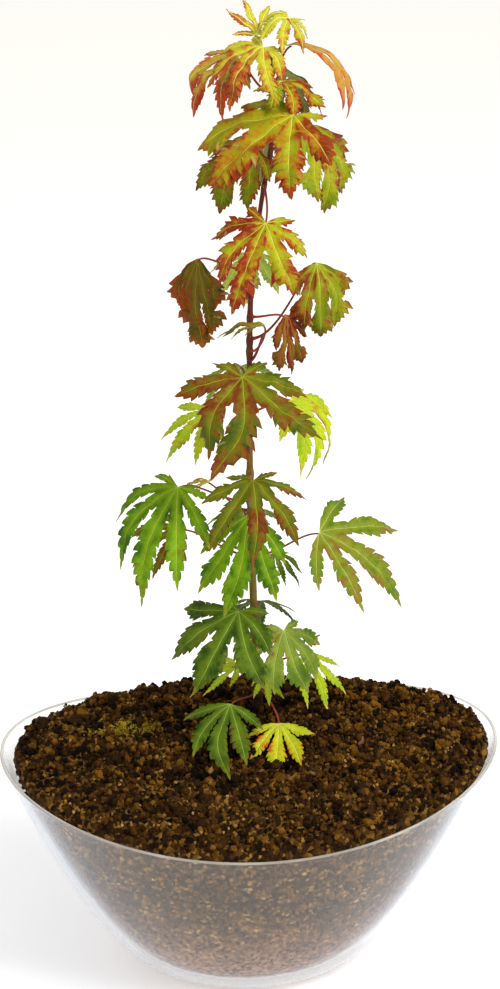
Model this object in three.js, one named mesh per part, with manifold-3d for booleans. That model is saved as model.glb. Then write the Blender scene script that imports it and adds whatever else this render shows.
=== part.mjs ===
// A young Japanese maple, one upright stem with its leaves, in a clear boat-shaped bowl of compost.
// Millimetres, +Z up. The origin is the middle of the bowl's flat underside, and its length lies along X.
import * as THREE from "three";
import { mergeVertices } from "three/addons/utils/BufferGeometryUtils.js";
import Module from "manifold-3d";

const wasm = await Module();
wasm.setup();

// ---- Driving dimensions ----
const GAP = 0.3; // between neighbouring pieces

const BOWL_LENGTH = 270;
const BOWL_DEPTH = 182;
const BOWL_HEIGHT = 120; // at the middle of the long sides
const RIM_RISE = 17; // the two ends stand this much higher
const BOWL_WALL = 3;
const BOWL_FLOOR = 3;
const BASE_SHARE = 0.42; // flat base against the rim, in length and in depth
const WALL_CURVE = 1.56; // how late the wall turns upright
const AROUND = 40; // facets round the bowl
const SOIL_SHARE = 0.978; // how far up the wall the compost reaches
const WALL_ROWS = [0, 0.2, 0.4, 0.6, 0.8, SOIL_SHARE, 1];

const SOIL_TOP = 142; // top of the heap
const HEAP_ROWS = [0.86, 0.68, 0.5, 0.32, 0.18];
const HEAP_ROUND = 0.75; // lower is a flatter top with steeper sides
const FOOT = new THREE.Vector2(7, 24); // where the stem stands
const HOLLOW_DEPTH = 3; // round the stem
const HOLLOW_RADIUS = 13;
const SEAT_RADIUS = 6;

const STEM_TOP = 505;
const STEM_SIDES = 8;
const STEM_STEPS = 26;
const STEM_RADIUS = 2.2;
const STEM_TIP_RADIUS = 0.8;
const FLARE = 2; // extra radius at the soil
const FLARE_HEIGHT = 5;

const LEAF_THICKNESS = 0.8;
const LOBES = [[0, 1], [36, 0.88], [73, 0.6], [115, 0.3]]; // degrees off the middle, and length
const ANGLE_RANGE = 6; // degrees between the extremes of a lobe's own angle
const LENGTH_RANGE = 0.14;
const SWAY_RANGE = 18; // degrees, of a lobe's sideways curve by its tip
const LOBE_WIDTH = 0.115; // widest half width of a lobe against its length
const LOBE_ROOM = 0.88; // how near a lobe may come to the line midway to its neighbour
const MARGIN = [[0.29, 1], [0.57, 0.86], [0.81, 0.42]]; // along a lobe's free part, and width
const SHOULDER = 0.15; // the blade's edge beyond the outermost lobes
const SHOULDER_ANGLE = 20;
const STALK_RADIUS = 0.92; // at the stem
const STALK_TIP_RADIUS = 0.72;
const STALK_SIDES = 5;
const STALK_STEPS = 6;
const STALK_GAP = 0.5; // between a stalk and the stem
const STALK_SUNK = 3; // how far a stalk runs on under its blade
const STALK_LEAVING = 0.35; // pull of the stalk's first direction, against its span
const STALK_ARRIVING = 0.3;

// ---- Small helpers ----
const radians = THREE.MathUtils.degToRad;
const vec = (x, y, z) => new THREE.Vector3(x, y, z);

function seeded(seed) {
  let state = seed * 7919 + 13;
  return () => {
    state = (state * 48271) % 2147483647;
    return state / 2147483647;
  };
}

function geometryOf(points, faces) {
  const flat = points.flatMap((p) => [p.x, p.y, p.z]);
  const g = new THREE.BufferGeometry();
  g.setAttribute("position", new THREE.Float32BufferAttribute(flat, 3));
  g.setIndex(faces.flat());
  return g;
}

function solidOf(geometry) {
  const merged = mergeVertices(geometry, 1e-4);
  return new wasm.Manifold(
    new wasm.Mesh({
      numProp: 3,
      vertProperties: merged.attributes.position.array,
      triVerts: new Uint32Array(merged.index.array),
    }),
  );
}

function geometryFrom(solid) {
  const made = solid.getMesh();
  const g = new THREE.BufferGeometry();
  g.setAttribute("position", new THREE.BufferAttribute(made.vertProperties, 3));
  g.setIndex(new THREE.BufferAttribute(made.triVerts, 1));
  g.computeVertexNormals();
  return g;
}

// Closed rings of points, each joined to the next, with a flat fan over the first and the last.
function stack(rings) {
  const n = rings[0].length;
  const points = rings.flat();
  const faces = [];
  for (let r = 0; r + 1 < rings.length; r++) {
    for (let i = 0; i < n; i++) {
      const j = (i + 1) % n;
      const [a, b, c, d] = [r * n + i, r * n + j, (r + 1) * n + j, (r + 1) * n + i];
      faces.push([a, b, c], [a, c, d]);
    }
  }
  for (const [ring, up] of [[0, false], [rings.length - 1, true]]) {
    const middle = points.length;
    const sum = rings[ring].reduce((s, p) => s.add(p), vec(0, 0, 0));
    points.push(sum.divideScalar(n));
    for (let i = 0; i < n; i++) {
      const [a, b] = [ring * n + i, ring * n + ((i + 1) % n)];
      faces.push(up ? [middle, a, b] : [middle, b, a]);
    }
  }
  return geometryOf(points, faces);
}

// A round limb along a curve, with its radius given for each share of the way.
function limb(curve, steps, sides, radiusAt) {
  const frames = curve.computeFrenetFrames(steps, false);
  const rings = [];
  for (let k = 0; k <= steps; k++) {
    const centre = curve.getPointAt(k / steps);
    const radius = radiusAt(k / steps, centre);
    const ring = [];
    for (let i = 0; i < sides; i++) {
      const a = (2 * Math.PI * i) / sides;
      const p = centre.clone();
      p.addScaledVector(frames.normals[k], radius * Math.cos(a));
      p.addScaledVector(frames.binormals[k], radius * Math.sin(a));
      ring.push(p);
    }
    rings.push(ring);
  }
  return stack(rings);
}

// ---- The bowl and its compost ----
const seatHeight = SOIL_TOP - HOLLOW_DEPTH;
const footHeight = seatHeight + GAP;
const rimHeight = (angle) => BOWL_HEIGHT + RIM_RISE * Math.cos(angle) ** 2;

// A ring of the wall, at a share of the way from base to rim, drawn in by an inset and raised by a floor.
function wallRing(share, inset, floor) {
  const wide = BASE_SHARE + (1 - BASE_SHARE) * share;
  const ring = [];
  for (let i = 0; i < AROUND; i++) {
    const a = (2 * Math.PI * i) / AROUND;
    const x = ((BOWL_LENGTH / 2) * wide - inset) * Math.cos(a);
    const y = ((BOWL_DEPTH / 2) * wide - inset) * Math.sin(a);
    ring.push(vec(x, y, floor + (rimHeight(a) - floor) * share ** WALL_CURVE));
  }
  return ring;
}

function bowl() {
  const outside = WALL_ROWS.map((share) => wallRing(share, 0, 0));
  const inside = WALL_ROWS.map((share) => wallRing(share, BOWL_WALL, BOWL_FLOOR));
  return stack([...outside, ...inside.reverse()]);
}

function heapHeight(x, y, edge, share) {
  const heap = edge + (SOIL_TOP - edge) * (1 - share ** 2) ** HEAP_ROUND;
  const away = Math.hypot(x - FOOT.x, y - FOOT.y) / HOLLOW_RADIUS;
  return heap - HOLLOW_DEPTH * Math.exp(-away * away);
}

function soil() {
  const inset = BOWL_WALL + GAP;
  const below = WALL_ROWS.filter((share) => share <= SOIL_SHARE);
  const rings = below.map((share) => wallRing(share, inset, BOWL_FLOOR + GAP));
  const edge = rings[rings.length - 1];
  for (const share of HEAP_ROWS) {
    rings.push(
      edge.map((p) => {
        const x = FOOT.x + (p.x - FOOT.x) * share;
        const y = FOOT.y + (p.y - FOOT.y) * share;
        return vec(x, y, heapHeight(x, y, p.z, share));
      }),
    );
  }
  const seat = edge.map((_, i) => {
    const a = (2 * Math.PI * i) / AROUND;
    return vec(FOOT.x + SEAT_RADIUS * Math.cos(a), FOOT.y + SEAT_RADIUS * Math.sin(a), seatHeight);
  });
  return stack([...rings, seat]);
}

// ---- The stem ----
// Height, then how far the stem has swayed right and back from its foot.
const stemCurve = new THREE.CatmullRomCurve3(
  [
    [0, 0, 0],
    [90, -3.5, 1],
    [190, -5, 2],
    [255, -3.5, 2],
    [290, 1, 2],
    [325, 6.5, 2],
    [STEM_TOP - footHeight, 5, 2],
  ].map(([up, right, back]) => vec(FOOT.x + right, FOOT.y + back, footHeight + up)),
);

function stemRadius(height) {
  const up = (height - footHeight) / (STEM_TOP - footHeight);
  const flare = FLARE * Math.exp(-(height - footHeight) / FLARE_HEIGHT);
  return STEM_RADIUS + (STEM_TIP_RADIUS - STEM_RADIUS) * up ** 1.2 + flare;
}

function stemAt(height) {
  let [low, high] = [0, 1];
  while (high - low > 1e-5) {
    const middle = (low + high) / 2;
    if (stemCurve.getPointAt(middle).z < height) low = middle;
    else high = middle;
  }
  return stemCurve.getPointAt(low);
}

function stem() {
  const made = limb(stemCurve, STEM_STEPS, STEM_SIDES, (_, centre) => stemRadius(centre.z));
  const position = made.attributes.position;
  for (let i = 0; i < STEM_SIDES; i++) position.setZ(i, footHeight); // the flat cut at the soil
  position.setZ(position.count - 2, footHeight);
  return made;
}

// ---- Leaves ----
// Each leaf: `foot` is the height its stalk leaves the stem at, `turn` the way it goes (0 right, 90 back,
// 180 left, 270 front), `reach` and `hub` how far out and how high its blade starts. The middle lobe points
// along `heading`, down by `slope` degrees, and `size` is its length. A positive `roll` raises the lobes to
// the left of it. `droop` is the share of the way to the ground that each rib has bent by its tip. `spread`
// and `broad` scale the angles between the lobes and the lobes' width, and the lobes are free of each other
// past `parted` of their length. `tint` is the leaf's main colour.
const LEAVES = [
  { name: "tip_left", foot: 499, turn: 178, reach: 7, hub: 511, heading: 120, size: 22, slope: -65,
    droop: 0.3, broad: 0.95, lobes: 5, tint: "gold" },
  { name: "tip_right", foot: 502, turn: 345, reach: 9, hub: 520, heading: 250, size: 25, slope: 15,
    roll: -20, broad: 1.2, tint: "gold" },
  { name: "crown_front", foot: 492, turn: 250, reach: 16, hub: 509, heading: 228, size: 38, slope: 14,
    roll: -12, droop: 0.6, broad: 1.5, parted: 0.42, tint: "gold" },
  { name: "crown_right", foot: 496, turn: 345, reach: 7, hub: 506, heading: 350, size: 52, slope: -8,
    droop: 0.95, spread: 0.4, broad: 1, lobes: 3, tint: "red" },
  { name: "crown_left", foot: 484, turn: 190, reach: 18, hub: 502, heading: 200, size: 38, slope: 22,
    roll: -18, droop: 0.5, broad: 1.2, parted: 0.36, lobes: 5, tint: "red" },
  { name: "crown_under", foot: 479, turn: 290, reach: 8, hub: 491, heading: 290, size: 28, slope: 12,
    droop: 0.35, broad: 1.5, parted: 0.45, lobes: 5, tint: "gold" },
  { name: "crown_back", foot: 488, turn: 60, reach: 12, hub: 492, heading: 45, size: 36, slope: 35,
    droop: 0.7, lobes: 5, tint: "bronze" },
  { name: "upper_front", foot: 466, turn: 283, reach: 29, hub: 479, heading: 208, size: 55, slope: 20,
    roll: -18, droop: 0.4, spread: 1.15, broad: 1.7, parted: 0.48, tint: "gold" },
  { name: "upper_right", foot: 460, turn: 0, reach: 19, hub: 467, heading: 305, size: 43, slope: 50,
    spread: 0.75, broad: 1.9, parted: 0.5, lobes: 5, tint: "lime" },
  { name: "upper_left", foot: 450, turn: 170, reach: 8, hub: 457, heading: 215, size: 38, slope: 32,
    roll: -20, broad: 1.6, parted: 0.45, lobes: 5, tint: "bronze" },
  { name: "upper_back", foot: 455, turn: 90, reach: 20, hub: 460, size: 42, slope: 45, droop: 0.6,
    broad: 1.5, parted: 0.4, lobes: 5, tint: "bronze" },
  { name: "mid_star", foot: 438, turn: 266, reach: 28, hub: 427, heading: 240, size: 47, slope: 38,
    roll: -14, droop: 0.38, broad: 1.7, parted: 0.42, tint: "gold" },
  { name: "mid_left", foot: 394, turn: 190, reach: 28, hub: 403, heading: 248, size: 42, slope: 72,
    droop: 0.3, spread: 0.5, broad: 1.8, parted: 0.5, lobes: 5, tint: "bronze" },
  { name: "mid_right", foot: 358, turn: 2, reach: 34, hub: 397, heading: 282, size: 36, slope: 60,
    spread: 0.8, broad: 1.9, parted: 0.48, lobes: 5, tint: "lime" },
  { name: "mid_back", foot: 385, turn: 85, reach: 22, hub: 396, size: 38, slope: 55, droop: 0.6, lobes: 5,
    broad: 1.3, parted: 0.4, tint: "lime" },
  { name: "mid_small", foot: 352, turn: 290, reach: 18, hub: 372, heading: 196, size: 26, slope: -8,
    spread: 0.4, droop: 0.3, lobes: 5, tint: "red" },
  { name: "mid_hang", foot: 370, turn: 330, reach: 19, hub: 374, heading: 310, size: 32, slope: 72,
    spread: 0.55, droop: 0.3, lobes: 5, broad: 1.5, parted: 0.4, tint: "red" },
  { name: "centre_star", foot: 338, turn: 258, reach: 28, hub: 348, heading: 270, size: 56, slope: 36,
    roll: 0, droop: 0.3, spread: 1.15, broad: 1.45, parted: 0.34, tint: "bronze" },
  { name: "centre_right", foot: 318, turn: 15, reach: 23, hub: 322, heading: 328, size: 46, slope: 32,
    roll: 15, droop: 0.75, spread: 0.85, broad: 1.15, tint: "lime" },
  { name: "centre_left", foot: 324, turn: 165, reach: 20, hub: 318, heading: 212, size: 36, slope: 22,
    roll: -18, spread: 0.85, lobes: 5, tint: "lime" },
  { name: "centre_back", foot: 332, turn: 95, reach: 24, hub: 334, size: 42, slope: 45, droop: 0.6,
    tint: "green" },
  { name: "left_green", foot: 268, turn: 195, reach: 40, hub: 282, heading: 226, size: 63, slope: 32,
    roll: -12, droop: 0.62, spread: 0.88, broad: 0.9, tint: "green" },
  { name: "left_small", foot: 262, turn: 170, reach: 22, hub: 278, heading: 150, size: 18, slope: 0,
    lobes: 5, tint: "gold" },
  { name: "left_back", foot: 235, turn: 165, reach: 40, hub: 248, heading: 190, size: 36, slope: 15,
    roll: -35, lobes: 5, tint: "bronze" },
  { name: "front_bronze", foot: 284, turn: 268, reach: 28, hub: 292, heading: 272, size: 48, slope: 30,
    droop: 0.5, tint: "bronze" },
  { name: "front_green", foot: 258, turn: 262, reach: 14, hub: 266, heading: 252, size: 54, slope: 55,
    spread: 0.75, lobes: 5, tint: "green" },
  { name: "right_green", foot: 236, turn: 345, reach: 36, hub: 252, heading: 344, size: 59, slope: 17,
    roll: 30, droop: 0.4, spread: 1.12, broad: 0.95, lobes: 5, tint: "green" },
  { name: "right_back", foot: 228, turn: 50, reach: 20, hub: 229, heading: 330, size: 24, slope: 30,
    lobes: 5, tint: "dark" },
  { name: "rear_green", foot: 245, turn: 95, reach: 22, hub: 252, size: 44, slope: 40, droop: 0.6,
    tint: "green" },
  { name: "low_left", foot: 203, turn: 245, reach: 24, hub: 214, heading: 232, size: 55, slope: 25,
    roll: -5, broad: 1.15, tint: "dark" },
  { name: "low_right", foot: 190, turn: 312, reach: 21, hub: 198, heading: 288, size: 38, slope: 48,
    broad: 1.35, tint: "dark" },
  { name: "low_back", foot: 188, turn: 80, reach: 24, hub: 196, size: 40, slope: 35, droop: 0.6, lobes: 5,
    tint: "dark" },
  { name: "low_lime_left", foot: 160, turn: 130, reach: 16, hub: 162, heading: 190, size: 32, slope: 12,
    lobes: 5, droop: 0.2, tint: "lime" },
  { name: "low_lime_right", foot: 168, turn: 5, reach: 29, hub: 172, heading: 290, size: 34, slope: 38,
    spread: 0.85, lobes: 5, droop: 0.2, broad: 0.8, tint: "lime" },
  { name: "low_bud", foot: 163, turn: 285, reach: 14, hub: 170, heading: 270, size: 18, slope: 40, lobes: 5,
    tint: "lime" },
  { name: "soil_left", foot: 152, turn: 233, reach: 28, hub: 158, heading: 248, size: 45, slope: 20,
    droop: 0.1, spread: 0.85, broad: 0.95, parted: 0.26, lobes: 5, tint: "dark" },
  { name: "soil_front", foot: 157, turn: 285, reach: 34, hub: 151, heading: 262, size: 32, slope: 18,
    droop: 0.1, spread: 0.9, broad: 1.2, parted: 0.26, lobes: 5, tint: "lime" },
];

function lobesOf(leaf) {
  const random = seeded(leaf.seed);
  const vary = (range) => range * (random() - 0.5);
  const kept = LOBES.slice(0, (leaf.lobes + 1) / 2);
  const both = [...kept.slice(1).reverse().map(([a, l]) => [-a, l]), ...kept];
  return both.map(([angle, length]) => ({
    angle: radians(leaf.spread * (angle + vary(ANGLE_RANGE))),
    length: leaf.size * length * (1 + vary(LENGTH_RANGE)),
    sway: radians(leaf.spread * vary(SWAY_RANGE)),
  }));
}

// The direction of a lobe's rib at a distance from the hub, in the flat blade.
const ribAngle = (lobe, r) => lobe.angle + lobe.sway * Math.min(1, r / lobe.length) ** 2;

// How wide a lobe may be on the side of its neighbour without touching it.
function roomBeside(lobe, neighbour, r) {
  if (!neighbour || r > neighbour.length) return Infinity;
  return LOBE_ROOM * r * Math.sin(Math.abs(ribAngle(neighbour, r) - ribAngle(lobe, r)) / 2);
}

// Takes a flat point of the blade, forward and sideways from the hub, to its place on the bent blade.
function bender(leaf) {
  const [heading, slope, roll] = [leaf.heading, leaf.slope, leaf.roll].map(radians);
  const forward = vec(
    Math.cos(heading) * Math.cos(slope),
    Math.sin(heading) * Math.cos(slope),
    -Math.sin(slope),
  );
  const level = vec(-Math.sin(heading), Math.cos(heading), 0);
  const side = level.clone().applyAxisAngle(forward, roll);
  const face = forward.clone().cross(side);
  const down = vec(0, 0, -1);
  return (x, y, lift) => {
    const r = Math.hypot(x, y);
    const rib = forward.clone().multiplyScalar(r ? x / r : 1);
    rib.addScaledVector(side, r ? y / r : 0);
    const across = down.clone().addScaledVector(rib, -down.dot(rib)).normalize();
    const axis = rib.clone().cross(across);
    const lean = rib.angleTo(down);
    const bend = (leaf.droop * Math.min(lean, 2 * (Math.PI - lean)) + 1e-6) / leaf.size; // none if upright
    const turned = bend * r;
    const place = leaf.hubPoint.clone();
    place.addScaledVector(rib, Math.sin(turned) / bend);
    place.addScaledVector(across, (1 - Math.cos(turned)) / bend);
    const normal = axis.clone().multiplyScalar(face.dot(axis));
    normal.addScaledVector(across, face.dot(across) * Math.cos(turned));
    normal.addScaledVector(rib, -face.dot(across) * Math.sin(turned));
    return place.addScaledVector(normal, lift);
  };
}

function blade(leaf) {
  const bend = bender(leaf);
  const lobes = lobesOf(leaf);
  const flat = [[0, 0]]; // the hub
  const faces = [];
  const outline = [0];
  const add = (x, y) => flat.push([x, y]) - 1; // gives the new point's number
  const onRay = (angle, r) => add(r * Math.cos(angle), r * Math.sin(angle));
  const shoulder = (lobe, beyond) => onRay(lobe.angle + radians(beyond), SHOULDER * leaf.size);
  const sinus = (a, b) => onRay((a.angle + b.angle) / 2, leaf.parted * Math.sqrt(a.length * b.length));
  const last = lobes.length - 1;
  let right = shoulder(lobes[0], -SHOULDER_ANGLE);
  lobes.forEach((lobe, i) => {
    const along = (share, width) => {
      const r = share * lobe.length;
      const a = ribAngle(lobe, r);
      return add(r * Math.cos(a) - width * Math.sin(a), r * Math.sin(a) + width * Math.cos(a));
    };
    const left = i === last ? shoulder(lobe, SHOULDER_ANGLE) : sinus(lobe, lobes[i + 1]);
    let row = [right, along(leaf.parted, 0), left];
    faces.push([0, row[0], row[1]], [0, row[1], row[2]]);
    outline.push(right);
    const leftEdge = [left];
    for (const [freeShare, width] of MARGIN) {
      const share = THREE.MathUtils.lerp(leaf.parted, 1, freeShare);
      const half = width * leaf.broad * LOBE_WIDTH * lobe.length;
      const [rightHalf, leftHalf] = [lobes[i - 1], lobes[i + 1]].map((neighbour) =>
        Math.min(half, roomBeside(lobe, neighbour, share * lobe.length)),
      );
      const next = [along(share, -rightHalf), along(share, 0), along(share, leftHalf)];
      faces.push([row[0], next[0], next[1]], [row[0], next[1], row[1]]);
      faces.push([row[1], next[1], next[2]], [row[1], next[2], row[2]]);
      outline.push(next[0]);
      leftEdge.push(next[2]);
      row = next;
    }
    const tip = along(1, 0);
    faces.push([row[0], tip, row[1]], [row[1], tip, row[2]]);
    outline.push(tip, ...leftEdge.reverse().slice(0, -1));
    right = left;
  });
  outline.push(right);
  const count = flat.length;
  const half = LEAF_THICKNESS / 2;
  const points = [half, -half].flatMap((lift) => flat.map(([x, y]) => bend(x, y, lift)));
  const under = faces.map(([a, b, c]) => [a + count, c + count, b + count]);
  const rim = outline.flatMap((a, i) => {
    const b = outline[(i + 1) % outline.length];
    return [[b, a, a + count], [b, a + count, b + count]];
  });
  return geometryOf(points, [...faces, ...under, ...rim]);
}

function stalk(leaf) {
  const { out } = leaf;
  const start = stemAt(leaf.foot).addScaledVector(out, stemRadius(leaf.foot) + STALK_GAP);
  const bend = bender(leaf);
  const end = bend(STALK_SUNK, 0, -LEAF_THICKNESS / 2);
  const back = bend(0, 0, 0).sub(bend(1, 0, 0)).normalize();
  const span = start.distanceTo(end);
  const curve = new THREE.CubicBezierCurve3(
    start,
    start.clone().addScaledVector(out, STALK_LEAVING * span),
    end.clone().addScaledVector(back, STALK_ARRIVING * span),
    end,
  );
  const radiusAt = (share) => THREE.MathUtils.lerp(STALK_RADIUS, STALK_TIP_RADIUS, share);
  return limb(curve, STALK_STEPS, STALK_SIDES, radiusAt);
}

const USUAL = { lobes: 7, roll: 0, slope: 25, droop: 0.45, spread: 1, broad: 1, parted: 0.3 };

function placed(leaf, i) {
  const out = vec(Math.cos(radians(leaf.turn)), Math.sin(radians(leaf.turn)), 0);
  const hubPoint = stemAt(leaf.foot).addScaledVector(out, leaf.reach);
  hubPoint.z = leaf.hub;
  return { ...USUAL, heading: leaf.turn, seed: i + 1, hubPoint, out, ...leaf };
}

// ---- The parts ----
const clearPlastic = new THREE.MeshStandardMaterial({
  color: 0xd8dcdc, roughness: 0.08, metalness: 0, transparent: true, opacity: 0.3,
});
const compost = new THREE.MeshStandardMaterial({ color: 0x3a2616, roughness: 0.95, metalness: 0 });
const bark = new THREE.MeshStandardMaterial({ color: 0x5e3a22, roughness: 0.75, metalness: 0 });
const tints = {
  green: 0x4f8a1c, dark: 0x35601a, lime: 0xa3c21c, bronze: 0x78702a, red: 0xa05a2c, gold: 0xb8a02c,
};

const maple = new THREE.Group();
maple.name = "potted_maple";

function addPart(name, geometry, material) {
  const mesh = new THREE.Mesh(geometry, material);
  mesh.name = name;
  maple.add(mesh);
}

addPart("bowl", bowl(), clearPlastic);
addPart("soil", soil(), compost);
addPart("trunk", stem(), bark);
for (const leaf of LEAVES.map(placed)) {
  const joined = solidOf(blade(leaf)).add(solidOf(stalk(leaf)));
  const colour = new THREE.MeshStandardMaterial({ color: tints[leaf.tint], roughness: 0.55, metalness: 0 });
  addPart("leaf_" + leaf.name, geometryFrom(joined), colour);
}

export default maple;
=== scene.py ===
import math
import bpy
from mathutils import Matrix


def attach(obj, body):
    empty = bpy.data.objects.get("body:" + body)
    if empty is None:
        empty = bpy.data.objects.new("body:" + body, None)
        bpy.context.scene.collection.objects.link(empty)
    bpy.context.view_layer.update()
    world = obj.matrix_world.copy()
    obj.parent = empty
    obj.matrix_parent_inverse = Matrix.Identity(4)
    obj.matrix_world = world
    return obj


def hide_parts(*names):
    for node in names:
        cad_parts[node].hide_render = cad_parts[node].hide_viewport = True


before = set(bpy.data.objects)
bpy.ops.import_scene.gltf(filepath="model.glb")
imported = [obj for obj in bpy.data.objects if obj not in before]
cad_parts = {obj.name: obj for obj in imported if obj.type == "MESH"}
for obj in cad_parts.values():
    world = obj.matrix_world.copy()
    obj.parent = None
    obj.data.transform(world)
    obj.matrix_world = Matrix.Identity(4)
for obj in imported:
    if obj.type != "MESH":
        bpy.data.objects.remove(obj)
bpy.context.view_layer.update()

from types import SimpleNamespace

import bmesh
import bpy
import numpy as np
from mathutils import Vector

MM = 0.001

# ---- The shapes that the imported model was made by, in millimetres ----
BOWL_LENGTH = 270
BOWL_DEPTH = 182
BOWL_HEIGHT = 120
RIM_RISE = 17
BOWL_WALL = 3
BOWL_FLOOR = 3
BASE_SHARE = 0.42
WALL_CURVE = 1.56
GAP = 0.3
SOIL_SHARE = 0.978
SOIL_TOP = 142
HEAP_ROUND = 0.75
FOOT = (7, 24)
HOLLOW_DEPTH = 3
HOLLOW_RADIUS = 13

STEM_TOP = 505
STEM_RADIUS = 2.2
STEM_TIP_RADIUS = 0.8
FLARE = 2
FLARE_HEIGHT = 5
FOOT_HEIGHT = SOIL_TOP - HOLLOW_DEPTH + GAP
# Height above the foot, then how far the stem has swayed right and back from it.
STEM_WAY = [
    (0, 0, 0), (90, -3.5, 1), (190, -5, 2), (255, -3.5, 2), (290, 1, 2), (325, 6.5, 2),
    (STEM_TOP - FOOT_HEIGHT, 5, 2),
]

LOBES = [(0, 1), (36, 0.88), (73, 0.6), (115, 0.3)]  # degrees off the middle, and length
ANGLE_RANGE = 6
LENGTH_RANGE = 0.14
SWAY_RANGE = 18
LOBE_WIDTH = 0.115
LOBE_ROOM = 0.88
SHOULDER = 0.15
SHOULDER_ANGLE = 20
STALK_SUNK = 3
STALK_LEAVING = 0.35
STALK_ARRIVING = 0.3

USUAL = {"roll": 0, "droop": 0.45, "spread": 1, "broad": 1, "parted": 0.3, "lobes": 7, "grown": (1, 1)}


def grow(name, foot, turn, reach, hub, tint, heading, size, slope, **own):
    """One leaf: the height its stalk leaves the stem at and the way it turns (0 right, 90 back, 180 left, 270
    front), how far out and how high the blade starts, its tint, and the blade's own way, size and slope."""
    given = dict(name=name, foot=foot, turn=turn, reach=reach, hub=hub, tint=tint, heading=heading)
    return SimpleNamespace(**{**USUAL, **given, "size": size, "slope": slope, "look": tint, **own})


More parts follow.
